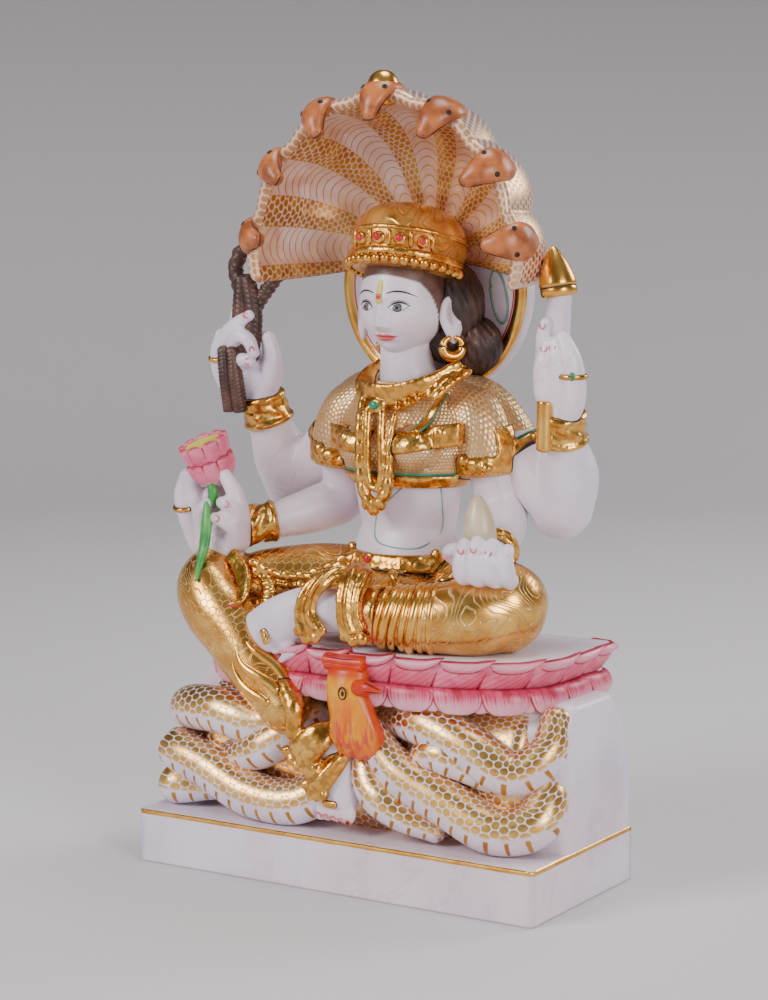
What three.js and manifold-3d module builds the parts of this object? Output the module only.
// A four-armed goddess seated under a seven-headed serpent hood, carved with her plinth from one
// block of white marble. Millimetres, +Z up, the front looks towards -Y, and the origin is the
// centre of the plinth's underside. Everything is joined into one solid, as the block was.

import * as THREE from "three";
import { mergeVertices } from "three/addons/utils/BufferGeometryUtils.js";
import Module from "manifold-3d";

const wasm = await Module();
wasm.setup();

// Driving dimensions.
const TOTAL_HEIGHT = 457;
const PLINTH_WIDTH = 263;
const PLINTH_DEPTH = 119;
const PLINTH_HEIGHT = 31.5;
const PLINTH_CORNER = 4;
const BACK_Y = PLINTH_DEPTH / 2;
const SEAT_TOP = 137;
const SEAT_UNDERSIDE = 107;
const FIGURE_X = 4; // the figure's own middle plane stands a little right of the plinth's
const NECKS = 7;
const NECK_STEP = THREE.MathUtils.degToRad(28.6);
const HOOD_CENTRE_Z = 352;
const HALO_RADIUS = 62;
const HALO_CENTRE_Z = 334;
const HEAD_CENTRE = [FIGURE_X, 18, 326];

const v = (x, y, z) => new THREE.Vector3(x, y, z);
const side = (s, [x, y, z]) => [FIGURE_X + s * x, y, z];

// Solids

// A closed geometry as a solid, with its poles' empty triangles dropped and its faces outwards.
function solidOf(geometry) {
  const bare = geometry.index ? geometry.toNonIndexed() : geometry.clone();
  for (const name of Object.keys(bare.attributes)) {
    if (name !== "position") bare.deleteAttribute(name);
  }
  const merged = mergeVertices(bare, 1e-3);
  const corners = merged.index.array;
  const kept = [];
  for (let i = 0; i < corners.length; i += 3) {
    const [a, b, c] = [corners[i], corners[i + 1], corners[i + 2]];
    if (a !== b && b !== c && c !== a) kept.push(a, b, c);
  }
  const make = (triangles) =>
    new wasm.Manifold(
      new wasm.Mesh({
        numProp: 3,
        vertProperties: merged.attributes.position.array,
        triVerts: new Uint32Array(triangles),
      }),
    );
  const made = make(kept);
  return made.volume() > 0 ? made : make(kept.reverse());
}

const join = (solids) => solids.reduce((all, one) => all.add(one));

// A bar along a smooth curve. Each entry of sizes is one radius, or a pair of half width and half
// thickness, at equal steps along the curve or at the shares given by at. The width runs along
// across, and the section is a number of sides or a list of places inside a circle of radius 1.
function bar(points, sizes, { section = 6, across = null, at = null } = {}) {
  const curve = new THREE.CatmullRomCurve3(points.map((p) => v(...p)), false, "centripetal");
  const last = sizes.length - 1;
  const outline = Array.isArray(section) ? section : polygon(section);
  const profile = [[0, 0], ...sizes.map((_, i) => [1, i / last]), [0, 1]];
  const geometry = new THREE.LatheGeometry(profile.map(([r, t]) => new THREE.Vector2(r, t)), outline.length);
  const chord = curve.getPoint(1).sub(curve.getPoint(0)).normalize();
  const upright = Math.abs(chord.z) > 0.8 ? v(0, 1, 0) : v(0, 0, 1);
  const place = geometry.getAttribute("position");
  for (let i = 0; i < place.count; i++) {
    const step = i % profile.length;
    const row = Math.min(Math.max(step - 1, 0), last);
    const onAxis = step === 0 || step === profile.length - 1;
    const [aside, ahead] = onAxis ? [0, 0] : outline[Math.floor(i / profile.length) % outline.length];
    const [width, thickness] = Array.isArray(sizes[row]) ? sizes[row] : [sizes[row], sizes[row]];
    const share = at ? at[row] : row / last;
    const tangent = curve.getTangentAt(share);
    const wide = across ? v(...across) : upright.clone().cross(tangent);
    wide.addScaledVector(tangent, -wide.dot(tangent)).normalize();
    const thin = tangent.clone().cross(wide);
    const spot = curve.getPointAt(share);
    spot.addScaledVector(wide, aside * width).addScaledVector(thin, ahead * thickness);
    place.setXYZ(i, spot.x, spot.y, spot.z);
  }
  return solidOf(geometry);
}

function polygon(sides) {
  const angles = Array.from({ length: sides }, (_, i) => (2 * Math.PI * i) / sides);
  return angles.map((angle) => [Math.sin(angle), Math.cos(angle)]);
}

// A section with rounded ridges side by side on its front and a plain back, for fingers and folds.
function ridged(ridges, depth = 0.35) {
  const count = 2 * ridges;
  const front = Array.from({ length: count - 1 }, (_, i) => {
    const x = 1 - (2 * (i + 1)) / count;
    return [x, i % 2 === 0 ? 1 : 1 - depth];
  });
  return [[1, 0], ...front, [-1, 0], [-0.6, -0.8], [0.6, -0.8]].reverse();
}

// An ellipsoid of three half sizes, turned by degrees about X, Y and Z.
function egg([x, y, z], [rx, ry, rz], { turn = [0, 0, 0], around = 8, up = 4 } = {}) {
  const geometry = new THREE.SphereGeometry(1, around, up);
  geometry.rotateX(Math.PI / 2);
  geometry.scale(rx, ry, rz);
  turned(geometry, turn);
  return solidOf(geometry.translate(x, y, z));
}

// A ring of elliptical plan with an oval section, turned by degrees about X, Y and Z.
function ring([x, y, z], [rx, ry], [thick, tall], { turn = [0, 0, 0], around = 12, section = 4 } = {}) {
  const geometry = new THREE.TorusGeometry(1, 0.5, section, around);
  const place = geometry.getAttribute("position");
  for (let i = 0; i < place.count; i++) {
    const [px, py] = [place.getX(i), place.getY(i)];
    const out = Math.hypot(px, py);
    const grown = (r) => r + (out - 1) * 2 * thick;
    place.setXYZ(i, (px / out) * grown(rx), (py / out) * grown(ry), place.getZ(i) * 2 * tall);
  }
  turned(geometry, turn);
  return solidOf(geometry.translate(x, y, z));
}

// A turned form about a vertical axis, from pairs of radius and height.
function turnedForm([x, y, z], profile, { sides = 12, scale = [1, 1], turn = [0, 0, 0] } = {}) {
  const geometry = new THREE.LatheGeometry(profile.map(([r, h]) => new THREE.Vector2(r, h)), sides);
  geometry.rotateX(Math.PI / 2);
  geometry.scale(scale[0], scale[1], 1);
  turned(geometry, turn);
  return solidOf(geometry.translate(x, y, z));
}

function turned(geometry, degrees) {
  const [rx, ry, rz] = degrees.map(THREE.MathUtils.degToRad);
  geometry.rotateX(rx);
  geometry.rotateY(ry);
  geometry.rotateZ(rz);
}

// A block with rounded upright edges and eased or rounded level edges, between two heights.
function block([x0, x1], [y0, y1], [z0, z1], corner, bevel, bevelSegments) {
  const [w, d] = [x1 - x0 - 2 * bevel, y1 - y0 - 2 * bevel];
  const shape = new THREE.Shape();
  shape.moveTo(corner, 0);
  shape.absarc(w - corner, corner, corner, -Math.PI / 2, 0, false);
  shape.absarc(w - corner, d - corner, corner, 0, Math.PI / 2, false);
  shape.absarc(corner, d - corner, corner, Math.PI / 2, Math.PI, false);
  shape.absarc(corner, corner, corner, Math.PI, 1.5 * Math.PI, false);
  const geometry = new THREE.ExtrudeGeometry(shape, {
    depth: z1 - z0 - 2 * bevel,
    bevelThickness: bevel,
    bevelSize: bevel,
    bevelSegments,
    curveSegments: 2,
  });
  return solidOf(geometry.translate(x0 + bevel, y0 + bevel, z0 + bevel));
}

// Plinth and serpent coils

function plinth() {
  const half = PLINTH_WIDTH / 2;
  const slab = block([-half, half], [-BACK_Y, BACK_Y], [0, PLINTH_HEIGHT], PLINTH_CORNER, 1.5, 1);
  const shape = new THREE.Shape();
  shape.moveTo(-22, 12);
  shape.lineTo(BACK_Y - 5, 12);
  shape.lineTo(BACK_Y - 6, 58);
  shape.quadraticCurveTo(BACK_Y - 8, 90, BACK_Y - 29, SEAT_UNDERSIDE + 6);
  shape.lineTo(-10, SEAT_UNDERSIDE + 6);
  shape.lineTo(-22, SEAT_UNDERSIDE - 10);
  const bevel = 5;
  const rock = new THREE.ExtrudeGeometry(shape, {
    depth: 2 * half - 14 - 2 * bevel,
    bevelThickness: bevel,
    bevelSize: bevel,
    bevelSegments: 2,
    curveSegments: 4,
  });
  rock.rotateX(Math.PI / 2);
  rock.rotateZ(Math.PI / 2);
  return join([slab, solidOf(rock.translate(-half + 14 + bevel - 0.5, 0, 0))]);
}

// The serpent's loops: each is a centre line and its radii, right of the cock and then left of it.
const COILS = [
  [[[20, -44, 92], [36, -44, 73], [68, -42, 57], [98, -40, 45], [118, -32, 50], [113, -22, 65], [88, -26, 62]],
    [8, 12.5, 13.5, 13.5, 13.5, 12, 7]],
  [[[22, -26, 96], [50, -35, 98], [80, -37, 88], [104, -31, 74], [117, -16, 82], [117, 8, 108]],
    [9, 13, 13, 13, 9]],
  [[[42, -34, 74], [60, -41, 84], [92, -32, 70]], [7, 11, 7]],
  [[[12, -36, 84], [20, -44, 62], [38, -45, 49], [60, -40, 40]], [8, 11.5, 7]],
  [[[-104, -22, 43], [-118, -38, 44], [-96, -36, 43]], [8, 12.5, 7]],
  [[[-102, -16, 62], [-118, -38, 65], [-92, -43, 58], [-60, -45, 46], [-28, -44, 46], [0, -34, 64]],
    [9, 12.5, 13.5, 13.5, 13, 9]],
  [[[-104, -6, 78], [-117, -26, 87], [-88, -38, 91], [-58, -37, 87], [-36, -30, 99]], [10, 13.5, 13.5, 9]],
  [[[-88, -32, 64], [-60, -41, 71], [-24, -34, 95]], [7, 12.5, 9]],
];

const coils = () => join(COILS.map(([line, radii]) => bar(line, radii)));

// The cock's head that ends the serpent, with its comb, its beak and its neck feathers.
function cockHead() {
  const neck = bar(
    [[26, -49, 77], [22, -52, 89], [14, -54, 103], [11, -53, 117], [10, -50, 130]],
    [[10, 5], [13, 8], [11, 9], [10, 9], [8, 7.5]],
    { section: 8, across: [1, 0, 0] },
  );
  const beak = bar([[15, -54, 118], [25, -55, 118], [33, -55, 115]], [5.5, 4, 1], { section: 5 });
  const comb = egg([8, -51, 131], [12, 8, 4.5]);
  return join([neck, beak, comb]);
}

// Lotus seat

// The seat's plan: an oval in front, squared behind, whose back is cut flat.
const SEAT_PLAN = { x: 4, y: 14, a: 120, b: 67, front: 2.7, back: 7 };

function seatEdge(angle) {
  const { x, y, a, b, front, back } = SEAT_PLAN;
  const [c, s] = [Math.cos(angle), Math.sin(angle)];
  const power = s < 0 ? front : back;
  const reach = (Math.abs(c / a) ** power + Math.abs(s / b) ** power) ** (-1 / power);
  return [x + reach * c, Math.min(y + reach * s, BACK_Y - 1)];
}

// Rings of the seat's side from below to above: share of the plan's reach, how much of a petal's
// bulge is added to it in millimetres, height, and how far a petal's middle drops below it.
const SEAT_RINGS = [
  [0.92, 3, 112, 6], [0.96, 5, 115, 4], [0.92, 0, 121, 0],
  [0.95, 3, 128, 0], [0.985, 2, SEAT_TOP - 2, 0], [0.96, 0, SEAT_TOP, 0],
];
const PETALS = 12;
const PETAL_ARC = [Math.PI * 0.98, Math.PI * 2.1];
const COLUMNS_IN_A_PETAL = 3;

// Angles of the seat's columns, at equal steps along its edge: the petals' arc, then the back.
function seatColumns() {
  const along = (from, to, count) => {
    const fine = Array.from({ length: 201 }, (_, i) => from + ((to - from) * i) / 200);
    const edge = new THREE.CatmullRomCurve3(fine.map((angle) => v(...seatEdge(angle), 0)));
    return Array.from({ length: count }, (_, i) => {
      const [x, y] = edge.getPointAt(i / count).toArray();
      return Math.atan2(y - SEAT_PLAN.y, x - SEAT_PLAN.x);
    });
  };
  const [from, to] = PETAL_ARC;
  return [...along(from, to, PETALS * COLUMNS_IN_A_PETAL), ...along(to - 2 * Math.PI, from, 6)];
}

function lotusSeat() {
  const columns = seatColumns();
  const profile = [[0, SEAT_RINGS[0][2]], ...SEAT_RINGS.map(([, , z]) => [1, z]), [0, SEAT_TOP]];
  const geometry = new THREE.LatheGeometry(profile.map(([r, z]) => new THREE.Vector2(r, z)), columns.length);
  const place = geometry.getAttribute("position");
  const { x, y } = SEAT_PLAN;
  for (let i = 0; i < place.count; i++) {
    const column = Math.floor(i / profile.length) % columns.length;
    const row = i % profile.length;
    const [share, bulge, height, drop] = SEAT_RINGS[row - 1] ?? [0, 0, profile[row][1], 0];
    const inPetal = column < PETALS * COLUMNS_IN_A_PETAL ? column % COLUMNS_IN_A_PETAL : 0;
    const petal = Math.sin((Math.PI * inPetal) / COLUMNS_IN_A_PETAL);
    const [ex, ey] = seatEdge(columns[column]);
    const reach = Math.hypot(ex - x, ey - y);
    const out = share === 0 ? 0 : share + (bulge * petal) / reach;
    place.setXYZ(i, x + (ex - x) * out, Math.min(y + (ey - y) * out, BACK_Y - 1), height - drop * petal);
  }
  return solidOf(geometry);
}

// Body

// Half width, half depth, middle y and height of the trunk's levels, with the belt's, the blouse
// hem's and the collar's steps.
const TORSO = [
  [46, 30, 25, 144], [52, 32, 24, 158], [42, 29, 22, 173], [35, 26.5, 21, 181], [32, 24.5, 21, 189],
  [29, 21.5, 22, 200], [34, 24, 21.5, 225], [38, 26.5, 21, 226.5], [41, 27.5, 21, 244], [43, 25, 25, 262],
  [34, 24, 26, 275], [23, 21, 22, 283], [16.5, 16, 21, 285], [15.5, 15, 20, 304],
];

function torso() {
  const profile = [[0, TORSO[0][3]], ...TORSO.map(([, , , z]) => [1, z]), [0, TORSO.at(-1)[3]]];
  const geometry = new THREE.LatheGeometry(profile.map(([r, z]) => new THREE.Vector2(r, z)), 12);
  const place = geometry.getAttribute("position");
  for (let i = 0; i < place.count; i++) {
    const [wide, deep, middle] = TORSO.find(([, , , z]) => Math.abs(z - place.getY(i)) < 0.01);
    place.setXYZ(i, FIGURE_X + place.getX(i) * wide, middle + place.getZ(i) * deep, place.getY(i));
  }
  const bust = [-1, 1].map((s) => egg(side(s, [17, 1, 246]), [15, 12.5, 13], { up: 4 }));
  return join([solidOf(geometry), ...bust]);
}

function sleeves() {
  return [-1, 1].flatMap((s) => [
    bar([side(s, [18, 26, 274]), side(s, [40, 27, 262]), side(s, [51, 27, 230])], [9, 19.5, 18]),
    bar([side(s, [26, 32, 272]), side(s, [54, 38, 262]), side(s, [65, 41, 242])], [10, 18, 15]),
  ]);
}

function arms() {
  const rear = [-1, 1].flatMap((s) => [
    bar([side(s, [56, 37, 250]), side(s, [74, 39, 226]), side(s, [95, 40, 203])], [15, 17, 9]),
    bar([side(s, [80, 43, 203]), side(s, [92, 37, 226]), side(s, [98, 23, 252]), side(s, [101, 18, 270])],
      [9, 18, 15, 10, 13.5, 13, 9.5], { at: [0, 0.16, 0.5, 0.7, 0.73, 0.9, 1] }),
  ]);
  const front = [
    bar([[-46, 28, 240], [-46, 33, 212], [-56, 20, 205], [-76, -6, 198], [-96, -22, 192]],
      [14, 14, 13.5, 9.5, 12.5, 12.5, 10], { at: [0, 0.3, 0.48, 0.73, 0.75, 0.9, 1] }),
    bar([[55, 28, 240], [59, 33, 210], [66, 21, 201], [75, 0, 196], [80, -18, 190]],
      [14.5, 14.5, 13, 10, 11.5, 11.5, 10], { at: [0, 0.34, 0.52, 0.74, 0.76, 0.88, 1] }),
  ];
  return [...rear, ...front];
}

function hands() {
  const finger = { section: 4 };
  return [
    // Raised with the lotus, resting on the knee.
    egg([-104, -23, 201], [18, 11, 26], { turn: [0, -10, 0], up: 5 }),
    bar([[-118, -24, 204], [-119, -27, 221], [-111, -29, 231]], [[5, 8], [5, 8], [3.5, 5]], finger),
    bar([[-88, -28, 204], [-92, -31, 219], [-97, -30, 231]], [6, 6, 4], finger),
    // Open on the thigh with the fruit.
    egg([79, -24, 187], [18, 12, 11]),
    bar([[81, -28, 182], [80, -33, 192], [80, -31, 202]], [[15, 5], [16, 4.5], [15, 3]], {
      section: ridged(4), across: [1, 0.25, 0],
    }),
    bar([[66, -22, 190], [62, -26, 196], [63, -27, 203]], [5, 3.5], finger),
    // Raised behind, closed on the noose.
    egg([-105, 17, 286], [19, 12, 22], { turn: [0, -5, 0], up: 5 }),
    bar([[-120, 13, 294], [-113, 6, 306], [-103, 2, 312]], [5, 5, 4], finger),
    bar([[-91, 13, 284], [-91, 9, 298], [-95, 8, 307]], [6, 6, 4], finger),
    // Raised behind, closed on the goad.
    egg([103, 20, 285], [14, 12, 22], { up: 5 }),
    bar([[110, 16, 276], [112, 12, 296], [108, 10, 309]], [[5, 9], [5, 8], [4, 5]], finger),
    bar([[92, 14, 300], [90, 10, 309], [93, 9, 318]], [5, 3.5], finger),
  ];
}

function legs() {
  return [
    egg([FIGURE_X, 0, 157], [46, 36, 21], { around: 10 }),
    bar([[-10, 30, 162], [-50, 6, 163], [-88, -20, 159], [-108, -36, 158]], [20, 23, 22, 10], { section: 8 }),
    bar([[-101, -18, 180], [-97, -31, 160], [-74, -38, 138], [-54, -43, 118], [-22, -49, 88], [0, -51, 62]],
      [9, 21, 22, 20, 13, 11], { section: 8, at: [0, 0.1, 0.24, 0.4, 0.8, 1] }),
    bar([[18, 28, 160], [56, 12, 163], [87, -2, 162], [103, -9, 162]], [20, 25, 24, 10], { section: 8 }),
    bar([[98, 6, 160], [83, -12, 160], [66, -24, 158], [44, -33, 156], [12, -42, 157]],
      [10, 23, 22.5, 20, 12.5], { section: 8, at: [0, 0.12, 0.3, 0.5, 1] }),
  ];
}

function feet() {
  const toes = ridged(5);
  return [
    bar([[14, -42, 157], [-14, -48, 158], [-36, -51, 150], [-50, -52, 140]], [[10, 8], [15, 10], [13, 5]], {
      across: [0.45, 0.1, -0.9],
    }),
    bar([[-38, -52, 147], [-58, -53, 140]], [[14, 6], [13, 3.5]], {
      section: toes, across: [0.45, 0.1, -0.9],
    }),
    bar([[-4, -49, 72], [0, -50, 58], [3, -50, 40]], [[9, 8], [11, 8.5], [12, 8]], { across: [1, 0, 0] }),
    bar([[2, -49, 50], [3, -54, 37]], [[11, 6], [11, 4.5]], { section: toes, across: [1, -0.1, 0] }),
  ];
}

// Head, hair, crown and halo

// The face's relief, as a shift outwards in millimetres, from heights above the chin as shares of
// the face: brow at two thirds, nose base at one third, mouth a ninth lower.
const FACE = { chin: 297, height: 51 };

function faceRelief(x, z) {
  const h = (z - FACE.chin) / FACE.height;
  const hill = (cx, ch, wx, wh, tall) => tall * Math.exp(-(((x - cx) / wx) ** 2) - ((h - ch) / wh) ** 2);
  const nose = hill(0, 0.36, 3.6, 0.075, 4.6) + hill(0, 0.47, 2.7, 0.13, 2.6);
  const brow = hill(0, 0.66, 12, 0.08, 0.8);
  const lips = hill(0, 0.235, 6, 0.055, 1.7);
  const chin = hill(0, 0.07, 6, 0.08, 1.6);
  const sockets = hill(-9, 0.565, 6, 0.07, 1.8) + hill(9, 0.565, 6, 0.07, 1.8);
  const cheeks = hill(-12, 0.36, 7, 0.13, 0.8) + hill(12, 0.36, 7, 0.13, 0.8);
  return nose + brow + lips + chin + cheeks - sockets;
}

function head() {
  const geometry = new THREE.SphereGeometry(1, 14, 12);
  geometry.rotateX(Math.PI / 2);
  const place = geometry.getAttribute("position");
  const [cx, cy, cz] = HEAD_CENTRE;
  for (let i = 0; i < place.count; i++) {
    const [x, y, z] = [place.getX(i), place.getY(i), place.getZ(i)];
    const jaw = z < 0 ? 1 - 0.3 * z * z : 1;
    const px = x * 25.5 * jaw;
    const pz = cz + z * (z < 0 ? 30 : 40);
    const front = y < 0 ? faceRelief(px, pz) * Math.min(1, -y * 2) : 0;
    place.setXYZ(i, cx + px, cy + y * 28 * (z < 0 ? 1 - 0.1 * z * z : 1) - front, pz);
  }
  const ears = [-1, 1].flatMap((s) => [
    egg(side(s, [26.5, 21, 318]), [3, 6.5, 15], { around: 6, up: 5 }),
    ring(side(s, [26.5, 16, 303]), [6, 6], [2.6, 2.6], { turn: [90, 0, s * 25], around: 8, section: 3 }),
  ]);
  return [solidOf(geometry), ...ears];
}

// Two rolls of hair behind each ear, the lower one on the shoulder.
const hair = () =>
  [-1, 1].flatMap((s) => [
    egg(side(s, [22, 33, 328]), [19, 15, 22]),
    egg(side(s, [31, 38, 303]), [18, 13, 16]),
  ]);

const CROWN_PROFILE = [
  [0, -8], [31, -7], [34, -3], [31.5, 2], [33.5, 8], [32.5, 17], [27, 26], [16, 32], [0, 34],
];

const crown = () => turnedForm([FIGURE_X, 19, 349], CROWN_PROFILE, { sides: 16, turn: [-16, 0, 0] });

const HALO_PROFILE = [[0, 0], [1, 0], [1, 9], [0.95, 13], [0.89, 11], [0, 11]];

const halo = () =>
  turnedForm([FIGURE_X, BACK_Y - 0.3, HALO_CENTRE_Z], HALO_PROFILE, {
    sides: 20, scale: [HALO_RADIUS, HALO_RADIUS], turn: [90, 0, 0],
  });

// Serpent hood

// The hood's outer surface from its centre to its rim along a neck's ridge: distance out, depth y,
// thickness, and how deep the valleys beside the ridge lie.
const HOOD_LINE = [
  [4, 57, 12, 0], [34, 57, 12, 2.5], [66, 49, 11, 5], [87, 26, 10.5, 5.5], [90.5, -10, 7, 3],
];
const COLUMNS_IN_A_NECK = 3;
const SNOUT_LINE = [[86, 4], [86, -12], [73, -22]];
const SNOUT_SIZE = [[13, 6], [13.5, 7], [5, 4.5]];

function hood() {
  const turnOf = (neck) => (neck - (NECKS - 1) / 2) * NECK_STEP;
  const spot = (angle, out, y) => {
    const tall = 1 + 0.06 * Math.cos(angle);
    return [FIGURE_X + out * Math.sin(angle), y, HOOD_CENTRE_Z + out * Math.cos(angle) * tall];
  };
  const columns = NECKS * COLUMNS_IN_A_NECK;
  const rows = HOOD_LINE.length - 1;
  const geometry = new THREE.BoxGeometry(columns, rows, 1, columns, rows, 1);
  const place = geometry.getAttribute("position");
  for (let i = 0; i < place.count; i++) {
    const column = Math.round(place.getX(i) + columns / 2);
    const row = Math.round(place.getY(i) + rows / 2);
    const [out, y, thick, valley] = HOOD_LINE[row];
    const [outBefore, yBefore] = HOOD_LINE[Math.max(row - 1, 0)];
    const [outAfter, yAfter] = HOOD_LINE[Math.min(row + 1, rows)];
    const along = v(outAfter - outBefore, yAfter - yBefore, 0).normalize();
    const sunk = valley * (1 - Math.abs(Math.sin((Math.PI * column) / COLUMNS_IN_A_NECK)));
    const shift = place.getZ(i) > 0 ? sunk : sunk + thick;
    const angle = turnOf(column / COLUMNS_IN_A_NECK - 0.5);
    place.setXYZ(i, ...spot(angle, out + along.y * shift, y - along.x * shift));
  }
  const snouts = Array.from({ length: NECKS }, (_, neck) => {
    const angle = turnOf(neck) * 0.96;
    const line = SNOUT_LINE.map(([out, y]) => spot(angle, out, y));
    return bar(line, SNOUT_SIZE, { section: 5, across: [Math.cos(angle), 0, -Math.sin(angle)] });
  });
  const bulb = [[0, -12], [7, -10], [8.5, -2], [7, 4.5], [0, 8]];
  const finial = turnedForm([FIGURE_X, -6, TOTAL_HEIGHT - 8], bulb, { sides: 8 });
  return join([solidOf(geometry), ...snouts, finial]);
}

// What she holds

// A cord that is doubled and curls round behind the hood's corner, and its tail below the hand.
function noose() {
  return [
    bar([[-100, 8, 296], [-98, 7, 318], [-101, 8, 338]], [[8, 4], [11.5, 5], [6, 4]], { across: [1, 0, 0] }),
    bar([[-104, 8, 332], [-106.5, 9, 345], [-102, 10, 355], [-87, 12, 352]], [4, 4.5, 4.5, 4], {
      section: 4,
    }),
    bar([[-97, 8, 317], [-90, 11, 328], [-82, 15, 340]], [5, 4.5, 4], { section: 4 }),
    bar([[-110, 2, 294], [-107, 2, 284], [-104, 4, 262]], [[5, 4], [7.5, 4.5], [7, 4]], {
      across: [1, 0, 0],
    }),
  ];
}

const GOAD_TIP = [[0, 0], [9.5, 1], [10.5, 6], [7, 21], [1.5, 31], [0, 32]];

function goad() {
  return [
    bar([[100, 8, 249], [100, 8, 276]], [3, 4.5, 4.5], { at: [0, 0.15, 1] }),
    bar([[99, 19, 292], [100, 19, 338]], [7.5, 7], { section: 8 }),
    turnedForm([100, 19, 330], GOAD_TIP, { sides: 8, turn: [0, -10, 0] }),
  ];
}

const LOTUS_PROFILE = [[0, -15], [8, -13], [12.5, -7], [9.5, -1], [13.5, 7], [13, 10], [0, 9]];

const lotusFlower = () => turnedForm([-101, -28, 236], LOTUS_PROFILE, { sides: 10, turn: [-6, -16, 0] });

const FRUIT_PROFILE = [[0, -12], [7, -10], [9.5, -3], [8.4, 7], [4, 19], [0, 22]];

const fruit = () => turnedForm([74, -18, 204], FRUIT_PROFILE, { sides: 8, turn: [0, -4, 0] });

// Jewellery and cloth that stand clear of the surface

function jewellery() {
  const strands = [-1, 1].map((s) =>
    bar([side(s, [9, -4, 270]), side(s, [8, -11, 252]), side(s, [3, -9, 221])], [3, 3.8, 3.4], {
      section: 4,
    }),
  );
  return [...strands, egg([FIGURE_X, -9, 218], [7.5, 5, 6], { around: 6 })];
}

function cloth() {
  return [
    // The sash's two tails over the crossed ankle.
    bar([[-6, -22, 176], [-12, -46, 173], [-20, -57, 162], [-21, -58, 148]], [[5, 4], [8, 4], [6, 3]], {
      section: ridged(2), across: [0.8, 0, 0.3],
    }),
    bar([[6, -24, 176], [10, -48, 173], [18, -58, 162], [23, -56, 147]], [[7, 4], [10, 4.5], [6, 3]], {
      section: ridged(3), across: [1, 0, 0],
    }),
    // The pendant leg's flared cuffs.
    bar([[-41, -46, 106], [-32, -54, 97], [-20, -57, 85], [-14, -56, 75]], [[7, 5], [12, 6], [8, 4]], {
      across: [0.6, 0, 0.8],
    }),
    bar([[-18, -56, 79], [-7, -57, 74], [5, -56, 73]], [[9, 5], [10, 5], [6, 4]], {
      section: 5, across: [0.3, 0, 0.9],
    }),
    bar([[-4, -55, 71], [-5, -57, 61], [-11, -57, 53]], [[6, 4], [6, 3]], {
      section: 5, across: [0.9, 0, 0.3],
    }),
    // The belt's festoon over the thigh.
    bar([[-24, 0, 180], [-46, -14, 173], [-62, -17, 173], [-80, -14, 181]], [[6, 4], [8, 4], [5, 3]], {
      section: 5, across: [0, -0.5, 0.8],
    }),
  ];
}

// The carved block

const pieces = [
  plinth(), coils(), cockHead(), lotusSeat(),
  torso(), ...sleeves(), ...arms(), ...hands(), ...legs(), ...feet(),
  ...head(), ...hair(), crown(), halo(), hood(),
  ...noose(), ...goad(), lotusFlower(), fruit(), ...jewellery(), ...cloth(),
];
const carved = join(pieces);

const mesh = carved.getMesh();
const geometry = new THREE.BufferGeometry()
  .setAttribute("position", new THREE.BufferAttribute(new Float32Array(mesh.vertProperties), 3))
  .setIndex(new THREE.BufferAttribute(new Uint32Array(mesh.triVerts), 1));
geometry.computeVertexNormals();

const marble = new THREE.MeshStandardMaterial({ color: 0xe9e0e6, roughness: 0.3, metalness: 0 });
const idol = new THREE.Mesh(geometry, marble);
idol.name = "goddess_idol";

const part = new THREE.Group();
part.add(idol);

export default part;
